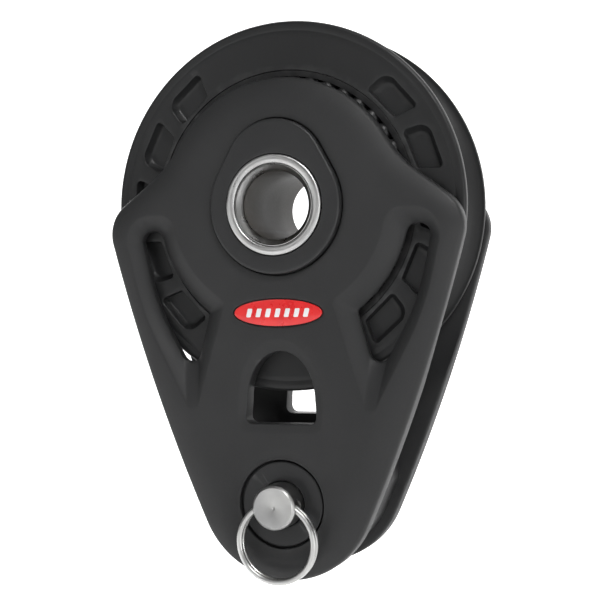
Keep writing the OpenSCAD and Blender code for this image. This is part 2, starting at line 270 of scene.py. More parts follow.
class Shape:
    """Points (x, z, height from the middle plane) and the faces between them."""

    def __init__(self):
        self.points, self.faces = [], []

    def loop(self, flat, height):
        """Adds an outline at one height, or at one height for each point, and gives its indices."""
        start = len(self.points)
        heights = np.broadcast_to(height, len(flat))
        self.points += [(float(p[0]), float(p[1]), float(h)) for p, h in zip(flat, heights)]
        return list(range(start, len(self.points)))

    def skin(self, a, b):
        n = len(a)
        self.faces += [(a[i], a[(i + 1) % n], b[(i + 1) % n], b[i]) for i in range(n)]

    def strips(self, levels, last):
        """Skins on from a loop through levels, [(outline, height), ...], and gives the newest loop."""
        for flat, height in levels:
            now = self.loop(flat, height)
            self.skin(last, now)
            last = now
        return last

    def cap(self, loop, height=None):
        """Closes a loop with a fan round a point in its middle."""
        ring = np.array([self.points[i] for i in loop])
        middle = ring.mean(axis=0)
        self.points.append((middle[0], middle[1], middle[2] if height is None else height))
        top, n = len(self.points) - 1, len(loop)
        self.faces += [(loop[i], loop[(i + 1) % n], top) for i in range(n)]

    def fill(self, outer, holes, height, step):
        """Fills the face between an outer loop and holes with even triangles that follow height(x, z)."""
        loops = [outer, *holes]
        ids = [i for loop in loops for i in loop]
        flat = np.array([self.points[i][:2] for i in ids])
        bounds = [np.array([self.points[i][:2] for i in loop]) for loop in loops]
        lo, hi = bounds[0].min(axis=0), bounds[0].max(axis=0)
        grid = []
        for k, z in enumerate(np.arange(lo[1], hi[1], step * ROW_SHARE)):
            row = np.arange(lo[0] + (k % 2) * step / 2, hi[0], step)
            grid.append(np.c_[row, np.full(len(row), z)])
        grid = np.vstack(grid)
        keep = inside(grid, bounds[0])
        for hole in bounds[1:]:
            keep &= ~inside(grid, hole)
        grid = grid[keep]
        near = np.full(len(grid), 1e9)
        for bound in bounds:
            near = np.minimum(near, distance_to(grid, bound))
        grid = grid[near > CLEAR_SHARE * step]
        edges, start = [], 0
        for loop in loops:
            n = len(loop)
            edges += [(start + i, start + (i + 1) % n) for i in range(n)]
            start += n
        ids += self.loop(grid, height(grid))
        everything = np.vstack([flat, grid])
        out, _, triangles, origin, _, _ = delaunay_2d_cdt([Vector(p) for p in everything], edges, [], 0, 1e-7)
        middle = np.array([np.mean([out[i] for i in t], axis=0) for t in triangles])
        good = inside(middle, bounds[0])
        for hole in bounds[1:]:
            good &= ~inside(middle, hole)
        self.faces += [tuple(ids[origin[i][0]] for i in t) for t, g in zip(triangles, good) if g]


def revolve(shape, profile, n, centre=(0, 0), closed=True):
    """Turns a profile of (radius, height) points round the Y direction."""
    rings = [shape.loop(circle(centre, r, n), h) for r, h in profile]
    for a, b in zip(rings, rings[1:] + (rings[:1] if closed else [])):
        shape.skin(a, b)
    return rings


def mirrored(profile):
    """A profile on the other side of the middle plane, in the order that carries it on."""
    return [(r, -h) for r, h in reversed(profile)]


def soft(points, r, closed=True):
    """A profile with every corner rounded by r, or by less where its sides are short."""
    made, k = [], len(points)
    straight, share, n = -0.985, 0.45, 4
    for i in range(k):
        a, b, c = (np.array(points[j % k], float) for j in (i - 1, i, i + 1))
        if not closed and i in (0, k - 1):
            made.append(tuple(b))
            continue
        u, w = a - b, c - b
        lu, lw = np.linalg.norm(u), np.linalg.norm(w)
        cosine = float(u @ w) / (lu * lw)
        if cosine < straight:
            made.append(tuple(b))
            continue
        half = math.acos(max(-1, min(1, cosine))) / 2
        size = min(r, share * min(lu, lw) * math.tan(half))
        made += [tuple(p) for p in corner(a, b, c, size, n)]
    return made


def build(name, shape, side, material, body, stands_for=(), sharp=38):
    """Makes the object. side -1 puts heights at the front, 1 at the rear."""
    mesh = bpy.data.meshes.new(name)
    points = [(x * MM, side * h * MM, z * MM) for x, z, h in shape.points]
    mesh.from_pydata(points, [], shape.faces)
    return finish_piece(name, mesh, material, body, stands_for, sharp)


def finish_piece(name, mesh, material, body, stands_for, sharp):
    """Cleans the mesh, makes its object, and tells the frame its body, slot and the nodes it stands for."""
    work = bmesh.new()
    work.from_mesh(mesh)
    bmesh.ops.remove_doubles(work, verts=work.verts, dist=2e-6)
    bmesh.ops.dissolve_degenerate(work, edges=work.edges, dist=1e-7)
    bmesh.ops.recalc_face_normals(work, faces=work.faces)
    work.to_mesh(mesh)
    work.free()
    mesh.shade_smooth()
    mesh.set_sharp_from_angle(angle=math.radians(sharp))
    piece = bpy.data.objects.new(name, mesh)
    bpy.context.scene.collection.objects.link(piece)
    mesh.materials.append(material)
    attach(piece, body)
    if stands_for:
        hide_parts(*stands_for)
    return piece


def solid(outline, bottom, top):
    """A plain prism as a temporary object in metres, at the front."""
    shape = Shape()
    a, b = shape.loop(outline, bottom), shape.loop(outline, top)
    shape.skin(a, b)
    shape.faces += [tuple(reversed(a)), tuple(b)]
    mesh = bpy.data.meshes.new("temporary")
    mesh.from_pydata([(x * MM, -h * MM, z * MM) for x, z, h in shape.points], [], shape.faces)
    work = bmesh.new()
    work.from_mesh(mesh)
    bmesh.ops.recalc_face_normals(work, faces=work.faces)
    work.to_mesh(mesh)
    work.free()
    piece = bpy.data.objects.new("temporary", mesh)
    bpy.context.scene.collection.objects.link(piece)
    return piece


def carve(piece, cutters, bevel, angle=40):
    """Cuts the cutters out, rounds the edges, and gives the finished mesh."""
    for cutter in cutters:
        cut = piece.modifiers.new("cut", "BOOLEAN")
        cut.operation, cut.object, cut.solver = "DIFFERENCE", cutter, "EXACT"
    edge = piece.modifiers.new("edge", "BEVEL")
    edge.width, edge.segments, edge.limit_method = bevel * MM, 3, "ANGLE"
    edge.angle_limit = math.radians(angle)
    view = bpy.context.evaluated_depsgraph_get()
    mesh = bpy.data.meshes.new_from_object(piece.evaluated_get(view))
    for o in [piece, *cutters]:
        bpy.data.objects.remove(o)
    return mesh


def join(mesh, others):
    """Adds the geometry of other meshes to a mesh."""
    work = bmesh.new()
    work.from_mesh(mesh)
    for other in others:
        work.from_mesh(other)
    work.to_mesh(mesh)
    work.free()


# ------------------------ materials

class Nodes:
    """A small helper around a material's node tree."""

    def __init__(self, name):
        self.material = bpy.data.materials.new(name)
        self.material.use_nodes = True
        self.material["slot"] = name
        self.tree = self.material.node_tree
        self.shader = self.tree.nodes["Principled BSDF"]
        self.place = self.add("ShaderNodeTexCoord").outputs["Object"]

    def add(self, kind, **values):
        node = self.tree.nodes.new(kind)
        for key, value in values.items():
            if hasattr(node, key):
                setattr(node, key, value)
            else:
                node.inputs[key].default_value = value
        return node

    def link(self, a, b):
        self.tree.links.new(a, b)

    def noise(self, scale, detail, place=None, rough=0.5):
        """A noise value, where scale is features per metre."""
        node = self.add("ShaderNodeTexNoise", Scale=scale, Detail=detail, Roughness=rough)
        self.link(place or self.place, node.inputs["Vector"])
        return node.outputs["Fac"]

    def stretch(self, x, y, z):
        """The object's coordinates with each axis scaled."""
        node = self.add("ShaderNodeMapping")
        node.inputs["Scale"].default_value = (x, y, z)
        self.link(self.place, node.inputs["Vector"])
        return node.outputs["Vector"]

    def ramp(self, value, a, b, low, high):
        """The value's way from a to b, as a number from low to high."""
        node = self.add("ShaderNodeMapRange", clamp=True)
        for key, number in (("From Min", a), ("From Max", b), ("To Min", low), ("To Max", high)):
            node.inputs[key].default_value = number
        self.link(value, node.inputs["Value"])
        return node.outputs["Result"]

    def math(self, operation, a, b):
        node = self.add("ShaderNodeMath", operation=operation)
        for socket, value in zip(node.inputs, (a, b)):
            if isinstance(value, (int, float)):
                socket.default_value = value
            else:
                self.link(value, socket)
        return node.outputs["Value"]

    def mix(self, share, a, b):
        node = self.add("ShaderNodeMix", data_type="RGBA")
        self.link(share, node.inputs["Factor"])
        for key, value in (("A", a), ("B", b)):
            socket = [s for s in node.inputs if s.name == key and s.type == "RGBA"][0]
            if isinstance(value, tuple):
                socket.default_value = (*value, 1)
            else:
                self.link(value, socket)
        return [s for s in node.outputs if s.type == "RGBA"][0]

    def bump(self, value, strength, distance, under=None):
        node = self.add("ShaderNodeBump")
        node.inputs["Strength"].default_value = strength
        node.inputs["Distance"].default_value = distance
        self.link(value, node.inputs["Height"])
        if under is not None:
            self.link(under, node.inputs["Normal"])
        return node.outputs["Normal"]

    def radius(self, centre):
        """Distance from an axis along Y through centre."""
        shift = self.add("ShaderNodeVectorMath", operation="SUBTRACT")
        self.link(self.place, shift.inputs[0])
        shift.inputs[1].default_value = centre
        flat = self.add("ShaderNodeVectorMath", operation="MULTIPLY")
        self.link(shift.outputs[0], flat.inputs[0])
        flat.inputs[1].default_value = (1, 0, 1)
        length = self.add("ShaderNodeVectorMath", operation="LENGTH")
        self.link(flat.outputs[0], length.inputs[0])
        return length.outputs["Value"]

    def edge(self, start, end):
        """A mask of worn edges: the mesh's own sharpness, broken up by noise."""
        sharp = self.ramp(self.add("ShaderNodeNewGeometry").outputs["Pointiness"], start, end, 0, 1)
        patchy = self.ramp(self.noise(260, 4), 0.42, 0.62, 0.15, 1)
        return self.math("MULTIPLY", sharp, patchy)

    def set(self, **values):
        names = {"specular": "Specular IOR Level", "coat": "Coat Weight", "coat_rough": "Coat Roughness",
                 "metal": "Metallic", "ior": "IOR"}
        for key, value in values.items():
            self.shader.inputs[names.get(key, key)].default_value = value
        return self


def plastic(name, dark, light, rough, grain=0.3, wear=(0.09, 0.09, 0.09), specular=0.5):
    """Moulded plastic: a fine spark-eroded grain, slow colour drift, faint rubs and paler edges."""
    n = Nodes(name).set(specular=specular)
    drift = n.ramp(n.noise(28, 4), 0.35, 0.65, 0, 1)
    speck = n.ramp(n.noise(2600, 2), 0.45, 0.75, 0, 0.25)
    colour = n.mix(drift, dark, light)
    colour = n.mix(speck, colour, tuple(1.35 * c for c in light))
    colour = n.mix(n.math("MULTIPLY", n.edge(0.52, 0.62), 0.5), colour, wear)
    n.link(colour, n.shader.inputs["Base Color"])
    smear = n.noise(70, 5, n.stretch(1, 1, 0.35))
    n.link(n.math("ADD", n.ramp(smear, 0.35, 0.7, rough - 0.05, rough + 0.07),
                  n.ramp(n.noise(1900, 2), 0.4, 0.7, -0.02, 0.03)), n.shader.inputs["Roughness"])
    fine = n.bump(n.noise(3800, 3), grain, 0.00006)
    n.link(n.bump(n.noise(420, 3), grain * 0.35, 0.00008, fine), n.shader.inputs["Normal"])
    return n.material


def metal(name, dark, light, rough, turned=0.0, centre=(0, 0, 0), pitch=4200, scratch=0.12):
    """Bare metal: turning marks round the Y axis if turned is above 0, and fine random scratches."""
    n = Nodes(name).set(metal=1.0)
    if turned:
        n.set(Anisotropic=0.6)
        grain = n.add("ShaderNodeTangent", direction_type="RADIAL", axis="Y")
        n.link(grain.outputs["Tangent"], n.shader.inputs["Tangent"])
    cloud = n.ramp(n.noise(90, 5), 0.35, 0.65, 0, 1)
    colour = n.mix(cloud, dark, light)
    hair = n.noise(900, 6, n.stretch(1, 0.12, 1), 0.7)
    colour = n.mix(n.ramp(hair, 0.62, 0.72, 0, 0.35), colour, tuple(0.6 * c for c in dark))
    n.link(colour, n.shader.inputs["Base Color"])
    n.link(n.ramp(n.noise(300, 5), 0.3, 0.7, rough * 0.75, rough * 1.35), n.shader.inputs["Roughness"])
    normal = n.bump(hair, scratch, 0.00002)
    if turned:
        wave = n.math("SINE", n.math("MULTIPLY", n.radius(centre), pitch * math.tau), 0.0)
        jitter = n.math("ADD", wave, n.ramp(n.noise(1200, 2), 0, 1, -0.6, 0.6))
        normal = n.bump(jitter, turned, 0.00001, normal)
    n.link(normal, n.shader.inputs["Normal"])
    return n.material


def enamel(name, dark, light):
    """Glossy printed label under a clear dome."""
    n = Nodes(name).set(specular=0.5, coat=0.6, coat_rough=0.08)
    colour = n.mix(n.ramp(n.noise(160, 4), 0.35, 0.65, 0, 1), dark, light)
    colour = n.mix(n.math("MULTIPLY", n.edge(0.53, 0.65), 0.4), colour, tuple(0.5 * c for c in dark))
    n.link(colour, n.shader.inputs["Base Color"])
    n.link(n.ramp(n.noise(500, 4), 0.3, 0.7, 0.24, 0.4), n.shader.inputs["Roughness"])
    n.link(n.bump(n.noise(900, 2), 0.12, 0.00004), n.shader.inputs["Normal"])
    return n.material


CHEEK = plastic("cheek_moulding", (0.0175, 0.0177, 0.0183), (0.0235, 0.0237, 0.0243), 0.54, specular=0.4)
HUB = plastic("hub_plate", (0.0165, 0.0167, 0.0175), (0.021, 0.0212, 0.022), 0.44, grain=0.25, specular=0.4)
BUSH = plastic("bush_black", (0.0145, 0.0147, 0.0155), (0.019, 0.0192, 0.02), 0.42, grain=0.2, specular=0.4)
SHEAVE = plastic("sheave_black", (0.012, 0.0122, 0.0127), (0.016, 0.0162, 0.0167), 0.42, grain=0.22,
                 specular=0.36)
BALL = plastic("ball_black", (0.010, 0.010, 0.0105), (0.015, 0.015, 0.0155), 0.42, grain=0.06, specular=0.4)
RACE = plastic("race_black", (0.006, 0.006, 0.0065), (0.009, 0.009, 0.0095), 0.4, grain=0.15, specular=0.3)
CAGE = plastic("cage_plastic", (0.02, 0.02, 0.022), (0.03, 0.03, 0.032), 0.45)
WASHER = plastic("washer_plastic", (0.68, 0.65, 0.56), (0.78, 0.75, 0.66), 0.4, wear=(0.85, 0.83, 0.75))
ROLLER = plastic("roller_plastic", (0.42, 0.25, 0.07), (0.52, 0.33, 0.11), 0.34, wear=(0.6, 0.42, 0.2))
BORE = plastic("bore_liner", (0.030, 0.026, 0.022), (0.050, 0.044, 0.037), 0.5, grain=0.2, specular=0.25)
LABEL = enamel("label_red", (0.70, 0.012, 0.014), (0.82, 0.022, 0.02))
MARK = enamel("label_mark", (0.82, 0.82, 0.82), (0.9, 0.9, 0.9))
MARK["slot"] = "label_red"
POLISHED = metal("polished_steel", (0.5, 0.5, 0.5), (0.62, 0.62, 0.61), 0.32, turned=0.15, pitch=2600)
RACE_STEEL = metal("race_alloy", (0.35, 0.35, 0.36), (0.45, 0.45, 0.46), 0.3, turned=0.2)
TURNED = metal("turned_steel", (0.42, 0.42, 0.42), (0.51, 0.51, 0.5), 0.38, turned=0.3,
               centre=(0, 0, PIN_Z * MM), pitch=3600)
WIRE = metal("ring_steel", (0.52, 0.52, 0.51), (0.64, 0.64, 0.63), 0.3, scratch=0.06)
SCREW = metal("screw_steel", (0.5, 0.5, 0.5), (0.62, 0.62, 0.62), 0.25)


# ------------------------ cheeks

# The rounded edge, the face's fall towards the outline, and the long dish
EDGE_INSET = 3.2
CROWN_W, CROWN_DROP = 9.0, 2.19
DISH_DROP, DISH_SLOPE = 0.32, 3.2
# The side windows' rims and undercuts, and the arch's lip, which fades towards its sill
WINDOW_FLOOR, RIM_ROUND = 15.3, 0.1
UNDERCUT, UNDERCUT_R, UNDERCUT_BLEND = 3.0, 36.8, 1.2
ARCH_DEPTH, ARCH_FADE_Z, ARCH_FADE, ARCH_LEAST = 1.2, -63.5, 10.0, 0.08
# The seats of the head bush, the hub plate and the screws
SEAT_LIP_R, SEAT_R, SEAT_HOLE_R, SEAT_FLOOR = 15.4, 11.9, 11.6, 16.5
PLATE_SEAT = 17.2
SCREW_X, SCREW_Z = SCREW_HIGH[0] - 3.6, (SCREW_LOW[2] + SCREW_HIGH[2]) / 2
SCREW_SEAT = 15.5
OUTLINE = cheek_outline(0)


def crown(points):
    """Height of the cheek's outer face: flat in the middle, falling away towards the outline, and
    sunk a little inside the long dish that holds the arch window and the head bush."""
    d = distance_to(points, OUTLINE)
    t = np.clip(distance_to(points, DISH) / DISH_SLOPE, 0, 1) * inside(points, DISH)
    return CHEEK_OUT - CROWN_DROP * np.maximum(0, 1 - d / CROWN_W) ** 2 - DISH_DROP * t * t * (3 - 2 * t)


def land(points):
    """Height of the cheek's inner face, which slopes inwards below the sheave."""
    r = np.linalg.norm(points, axis=1)
    t = np.clip((r - LAND_R) / LAND_SLOPE, 0, 1)
    return CHEEK_IN + (LAND_IN - CHEEK_IN) * t * t * (3 - 2 * t)


def cheek_rim(shape):
    """The rounded edge from the outer face to the inner face. Gives both border loops."""
    start, end = cheek_outline(EDGE_INSET), cheek_outline(0.9)
    outer = shape.loop(start, crown(start))
    levels = [(cheek_outline(inset), crown(cheek_outline(inset)) - 0.03) for inset in (2.5, 1.9)]
    edge = [(1.35, 17.14), (0.9, 16.95), (0.55, 16.72), (0.28, 16.42), (0.1, 16.08), (0, 15.7), (0, 15.0)]
    levels += [(cheek_outline(inset), height) for inset, height in edge]
    base = land(cheek_outline(0.4))
    foot = [(0, 0.9), (0.06, 0.35), (0.2, 0.12), (0.45, 0)]
    levels += [(cheek_outline(inset), base + rise) for inset, rise in foot]
    return outer, shape.strips([*levels, (end, land(end))], outer)


def inner_edge(loop):
    """Levels of the rounded edge where a hole comes out of the cheek's inner face."""
    return [(loop, CHEEK_IN + 0.5), (offset(loop, RIM_ROUND), CHEEK_IN + 0.15),
            (offset(loop, 0.35), CHEEK_IN)]


def side_window(shape, mirror):
    """A recess whose walls slope down to the rim of a through window, which is undercut near the hub.
    Gives the outer and inner loops."""
    lip, rim = RECESS, WINDOW
    if mirror:
        lip, rim = (lip * (-1, 1))[::-1], (rim * (-1, 1))[::-1]
    lip = offset(lip, 2 * RIM_ROUND)
    top = crown(lip)
    profile = [(0, 0), (0.03, 0.004), (0.07, 0.02), (0.12, 0.05), (0.2, 0.105), (0.35, 0.225), (0.5, 0.37),
               (0.65, 0.53), (0.8, 0.72), (0.9, 0.87), (0.955, 0.965), (0.985, 1.03), (1, 1.12)]
    levels = [(lip + (rim - lip) * t, top + (WINDOW_FLOOR - top) * s) for t, s in profile]
    first = shape.loop(*levels[0])
    last = shape.strips(levels[1:], first)
    r = np.linalg.norm(rim, axis=1)[:, None]
    back = rim * (1 - UNDERCUT * np.clip((UNDERCUT_R - r) / UNDERCUT_BLEND, 0, 1) / r)
    last = shape.strips([(rim, WINDOW_FLOOR - 0.3), (back, WINDOW_FLOOR - 1.0), *inner_edge(back)], last)
    return first, last


def arch_window(shape):
    """A dished arch round the through window below the label."""
    top = crown(ARCH_LIP)
    deep = ARCH_DEPTH * np.clip((ARCH_LIP[:, 1] - ARCH_FADE_Z) / ARCH_FADE, ARCH_LEAST, 1)
    profile = [(0, 0), (0.06, 0.02), (0.14, 0.07), (0.25, 0.17), (0.4, 0.34), (0.6, 0.58), (0.8, 0.8),
               (0.93, 0.95)]
    levels = [(ARCH_LIP + (ARCH - ARCH_LIP) * t, top - deep * s) for t, s in profile]
    first = shape.loop(*levels[0])
    last = shape.strips(levels[1:], first)
    rim = top - deep
    last = shape.strips([(offset(ARCH, 0.12), rim - 0.03), (offset(ARCH, 0.03), rim - 0.14),
                         (ARCH, rim - 0.35), (ARCH, 15.5), *inner_edge(ARCH)], last)
    return first, last


def hub_pocket(shape):
    """The seat of the hub plate, down to the hole for its spigot."""
    lip = plate_outline(0.75)
    first = shape.loop(lip, crown(lip))
    spigot_r = RACE_R - 0.95
    inner = lip / np.linalg.norm(lip, axis=1)[:, None] * spigot_r
    edge = [(0.55, 0.04), (0.4, 0.12), (0.3, 0.35)]
    last = shape.strips([(plate_outline(grow), CHEEK_OUT - drop) for grow, drop in edge], first)
    hole = [(plate_outline(0.28), PLATE_SEAT), (inner, PLATE_SEAT), (inner, CHEEK_IN)]
    return first, shape.strips(hole, last)


def bush_seat(shape):
    """A soft dish round the seam of the head bush, and the bush's hole."""
    n, c = 120, (0, PIN_Z)
    profile = [(SEAT_LIP_R, 0), (14.9, 0.02), (14.3, 0.07), (13.6, 0.15), (13.0, 0.2), (12.5, 0.2),
               (12.25, 0.17), (12.05, 0.2), (11.94, 0.32), (SEAT_R, 0.55)]
    heights = crown(circle(c, SEAT_LIP_R, n))
    levels = [(circle(c, r, n), heights - drop) for r, drop in profile]
    first = shape.loop(*levels[0])
    last = shape.strips(levels[1:], first)
    hole = [(SEAT_R, SEAT_FLOOR), (SEAT_HOLE_R, SEAT_FLOOR - 0.1), (SEAT_HOLE_R, CHEEK_IN)]
    return first, shape.strips(circles(hole, n, c), last)


def label_seat(shape):
    """A shallow oval pocket under the label, closed by a floor."""
    n = 96
    middle = (LABEL_LOW + LABEL_HIGH) / 2
    half = (LABEL_HIGH - LABEL_LOW) / 2
    def oval(grow):
        return arc((0, middle[2]), half[0] + grow, 90, 90 - 360 * (n - 1) / n, n - 1, half[2] + grow)
    first = shape.loop(oval(0.75), crown(oval(0.75)))
    last = shape.strips([(oval(0.55), CHEEK_OUT - 0.03), (oval(0.42), CHEEK_OUT - 0.12),
                         (oval(0.38), CHEEK_OUT - 0.3), (oval(0.36), CHEEK_OUT - 0.6)], first)
    shape.cap(last)
    return first


def screw_seat(shape, side):
    """A blind hole for a screw's head."""
    n, c = 48, (side * SCREW_X, SCREW_Z)
    lip = circle(c, 4.25, n)
    first = shape.loop(lip, crown(lip))
    top = crown(lip)
    last = shape.strips([(circle(c, 4.05, n), top - 0.05), (circle(c, 3.9, n), top - 0.2),
                         (circle(c, 3.86, n), top - 0.5), (circle(c, 3.86, n), SCREW_SEAT)], first)
    shape.cap(last)
    return first


def head_block():
    """The half of the head block that stands on a cheek's inner face, with the throat for a rope's eye."""
    top, half_w, r = -62, 24, 8
    flat = cheek_outline(3, 2)
    for a in range(0, 91, 10):
        flat = clip(flat, a, float(np.array([half_w - r, top - r]) @ ray(a)) + r)
        flat = clip(flat, 180 - a, float(np.array([r - half_w, top - r]) @ ray(180 - a)) + r)
    block = solid(flat, 0, CHEEK_IN + 0.4)
    throat_w, roof, below = 14, -68, -112
    throat = rounded([(-throat_w, roof), (throat_w, roof), (throat_w, below), (-throat_w, below)],
                     [5, 5, 1, 1], 10)
    cutters = [solid(throat, -2, THROAT_H), solid(circle((0, PIN_Z), BUSH_R + 0.08, 96), -2, 30)]
    cutters += [solid(circle((s * SCREW_X, SCREW_Z), 2.05, 40), -2, 10) for s in (1, -1)]
    return carve(block, cutters, 0.35)


def cheek(name, side, node):
    """A shell with its windows and seats, and half of the head block on its inner face."""
    shape = Shape()
    outer, inner = cheek_rim(shape)
    parts = [side_window(shape, False), side_window(shape, True), arch_window(shape), hub_pocket(shape),
             bush_seat(shape)]
    blind = [label_seat(shape)]
    if side > 0:
        blind += [screw_seat(shape, 1), screw_seat(shape, -1)]
    shape.fill(outer, [p[0] for p in parts] + blind, crown, 1.5)
    shape.fill(inner, [p[1] for p in parts], land, 2.2)
    piece = build(name, shape, side, CHEEK, "frame", [node], sharp=34)
    block = head_block()
    if side > 0:
        block.transform(Matrix.Scale(-1, 4, (0, 1, 0)))
        block.flip_normals()
    join(piece.data, [block])
    piece.data.shade_smooth()
    piece.data.set_sharp_from_angle(angle=math.radians(34))
    return piece


# ------------------------ hub, core and bearing

def hub_plate(name, side, node):
    """The flange's rounded edge and face, the seat of the collar, and the spigot behind."""
    shape = Shape()
    n, top, bottom = 180, PLATE_FACE, 17.3
    edge = [(0, top - 0.75), (-0.08, top - 0.42), (-0.28, top - 0.16), (-0.6, top - 0.03), (-1.0, top)]
    seat = [(COLLAR_R + 0.25, top - 0.08), (COLLAR_R + 0.12, top - 0.3), (COLLAR_R + 0.1, COLLAR_FLOOR),
            (CORE_R + 0.1, COLLAR_FLOOR), (CORE_R + 0.1, CHEEK_IN), (RACE_R - 1.4, CHEEK_IN),
            (RACE_R - 1.1, CHEEK_IN + 0.4), (RACE_R - 1.0, bottom)]
    base = shape.loop(plate_outline(0), bottom)
    outer = shape.strips([(plate_outline(grow), h) for grow, h in edge], base)
    lip = shape.loop(circle((0, 0), COLLAR_R + 0.55, n), top)
    last = shape.strips(circles(seat, n), lip)
    shape.fill(outer, [lip], lambda p: np.full(len(p), top), 1.6)
    shape.fill(base, [last], lambda p: np.full(len(p), bottom), 3.0)
    return build(name, shape, side, HUB, "frame", [node])


def turned(name, profile, side, material, node, r, centre=(0, 0)):
    """A ring of the frame body, turned from a profile with corners rounded by r."""
    shape = Shape()
    revolve(shape, soft(profile, r), 160, centre)
    return build(name, shape, side, material, "frame", [node], 40)


def core_tube():
    """A tube with conical mouths, polished outside and dull inside."""
    mouth, depth, steps = CORE_R - 0.25, 2.3, 9
    lip = [(CORE_R, CORE_FACE - 0.7), (CORE_R - 0.03, CORE_FACE - 0.25), (CORE_R - 0.12, CORE_FACE - 0.06),
           (mouth, CORE_FACE)]
    cone = [(CORE_BORE_R + (mouth - CORE_BORE_R) * (1 - t) ** 1.15, CORE_FACE - 0.1 - depth * t)
            for t in np.linspace(0.06, 1, steps)]
    half = [(CORE_R, 0.0), *lip, *cone, (CORE_BORE_R, CORE_FACE - depth - 0.4)]
    profile = half + mirrored(half[1:])
    shape = Shape()
    revolve(shape, profile, 180)
    piece = build("core_tube_turned", shape, -1, POLISHED, "frame", ["core_tube"])
    piece.data.materials.append(BORE)
    for face in piece.data.polygons:
        c = face.center / MM
        if math.hypot(c.x, c.z) < CORE_BORE_R + 0.02 and abs(c.y) < CORE_FACE - depth:
            face.material_index = 1
    return piece


def collar(name, side, node):
    """A domed ring round the tube's mouth."""
    low_r, top, steps = CORE_R + 0.05, COLLAR_FACE, 14
    middle, half_w, rise = (low_r + COLLAR_R) / 2, (COLLAR_R - low_r) / 2, 0.75
    dome = [(middle - half_w * math.cos(t), top - rise + rise * math.sin(t) ** 0.7)
            for t in np.linspace(0, math.pi, steps)]
    profile = [(low_r, COLLAR_FLOOR), *dome, (COLLAR_R, COLLAR_FLOOR)]
    shape = Shape()
    revolve(shape, profile, 180)
    return build(name, shape, side, POLISHED, "frame", [node], 50)


def rollers():
    """Sixteen plain rollers with slightly rounded ends, standing round the inner race."""
    n, count, r, half_l = 40, 16, 3.0, 8.5
    shape = Shape()
    orbit = RACE_R + 0.05 + r
    profile = [(0.6, half_l), (r - 0.3, half_l), (r - 0.08, half_l - 0.08), (r, half_l - 0.3)]
    for i in range(count):
        a = 2 * math.pi * i / count
        rings = revolve(shape, profile + mirrored(profile), n,
                        (orbit * math.cos(a), orbit * math.sin(a)), closed=False)
        shape.cap(rings[0])
        shape.cap(rings[-1])
    return build("main_rollers_turned", shape, -1, ROLLER, "roller_set", ["main_rollers"])


def balls(name, side, node, body):
    """One ring of side balls."""
    shape = Shape()
    across, up = 28, 15
    for i in range(BALL_COUNT):
        a = 2 * math.pi * i / BALL_COUNT
        c = (BALL_CIRCLE_R * math.cos(a), BALL_CIRCLE_R * math.sin(a))
        profile = [(BALL_R * math.cos(t), BALL_H + BALL_R * math.sin(t))
                   for t in np.linspace(-math.pi / 2, math.pi / 2, up + 2)[1:-1]]
        rings = revolve(shape, profile, across, c, closed=False)
        shape.cap(rings[0], BALL_H - BALL_R)
        shape.cap(rings[-1], BALL_H + BALL_R)
    return build(name, shape, side, BALL, body, [node])


def ball_race(name, side, node):
    """A flat ring with the groove that the side balls run in."""
    groove_r = BALL_R + 0.05
    inner, outer, face = RING_RACE_R - RING_RACE_W, RING_RACE_R, SHEAVE_H
    half = math.sqrt(groove_r ** 2 - (face - BALL_H) ** 2)
    a = math.degrees(math.asin((face - BALL_H) / groove_r))
    groove = [tuple(p) for p in arc((BALL_CIRCLE_R, BALL_H), groove_r, a, -180 - a, 28)]
    profile = [(inner, RING_RACE_FLOOR), (inner, face - 0.25), (inner + 0.25, face),
               (BALL_CIRCLE_R - half - 0.15, face)]
    profile += groove[::-1]
    profile += [(BALL_CIRCLE_R + half + 0.15, face), (outer - 0.25, face), (outer, face - 0.25),
                (outer, RING_RACE_FLOOR)]
    shape = Shape()
    revolve(shape, profile, 216)
    return build(name, shape, side, RACE, "sheave", [node])


# ------------------------ sheave

POCKET_LOW, POCKET_HIGH, POCKET_DEPTH = 38.1, 45.2, 2.0
SHEAVE_TURN = -2.5
GROOVE_C, GROOVE_R = 51.5, 10.0


def pocket_outlines():
    """Five pockets on each side of a flange, each with how far its floor is moved from its mouth."""
    pitch, swirl, half = 22.5, 1.1, 8.2
    slide, slide_turn = -0.75, 50
    for start in (0, 180):
        for k in range(-2, 3):
            turn = SHEAVE_TURN + start + k * pitch
            corners = [POCKET_LOW * ray(turn + half + swirl), POCKET_HIGH * ray(turn + half - swirl),
                       POCKET_HIGH * ray(turn - half - swirl), POCKET_LOW * ray(turn - half + swirl)]
            yield dense(rounded(corners, [1.2, 3.5, 1.2, 1.2], 8), 0.7), slide * ray(turn + slide_turn)


def flange(shape, sign, n):
    """One outer face of the sheave, with its pockets. Gives its inner and outer border loops."""
    h = sign * SHEAVE_H
    inner = shape.loop(circle((0, 0), RING_RACE_R + 0.06, n), h)
    line = [(46.9, 0), (47.05, 0.06), (47.25, 0.09), (47.45, 0.06), (47.6, 0.0)]
    face_edge = shape.loop(circle((0, 0), line[0][0], n), h)
    outer = shape.strips(circles([(r, h - sign * d) for r, d in line[1:]], n), face_edge)
    lips = []
    for lip, slide in pocket_outlines():
        levels = [(0.02, 0.04), (-0.06, 0.15), (-0.1, 0.35), (-0.65, 1.55), (-0.8, 1.82), (-0.95, 1.97)]
        first = shape.loop(offset(lip, 0.12), h)
        last = shape.strips([(offset(lip, grow) + slide * (d / POCKET_DEPTH) ** 1.5, h - sign * d)
                             for grow, d in levels], first)
        shape.fill(last, [], lambda p: np.full(len(p), h - sign * POCKET_DEPTH), 1.2)
        lips.append(first)
    shape.fill(face_edge, [inner, *lips], lambda p: np.full(len(p), h), 1.3)
    return inner, outer


